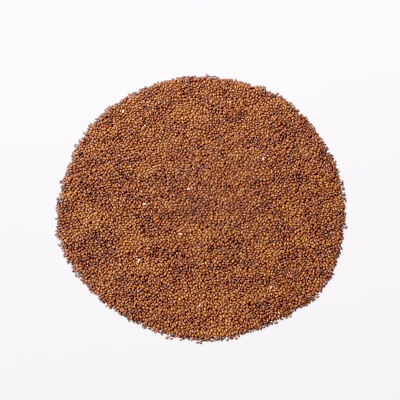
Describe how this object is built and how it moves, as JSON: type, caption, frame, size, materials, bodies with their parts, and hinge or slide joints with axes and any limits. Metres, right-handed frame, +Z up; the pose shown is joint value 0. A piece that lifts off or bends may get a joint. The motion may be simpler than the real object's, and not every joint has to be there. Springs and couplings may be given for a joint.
{
  "type": "round layer of alfalfa seeds",
  "caption": "Thin, round, ragged-edged layer of loose alfalfa seeds spread flat on a surface, for food and kitchen scenes.",
  "frame": {"origin": "middle of the flat underside, on the surface that the seeds lie on", "axes": "+Z up out of the layer, +X along its longer side, left to right in the picture, +Y away from the viewer"},
  "size_m": [0.16, 0.149, 0.0038],
  "materials": {
    "seed_coat": "satin copper-brown seed coats"
  },
  "bodies": {
    "root": {"alfalfa_seeds": "seed_coat"}
  },
  "joints": []
}
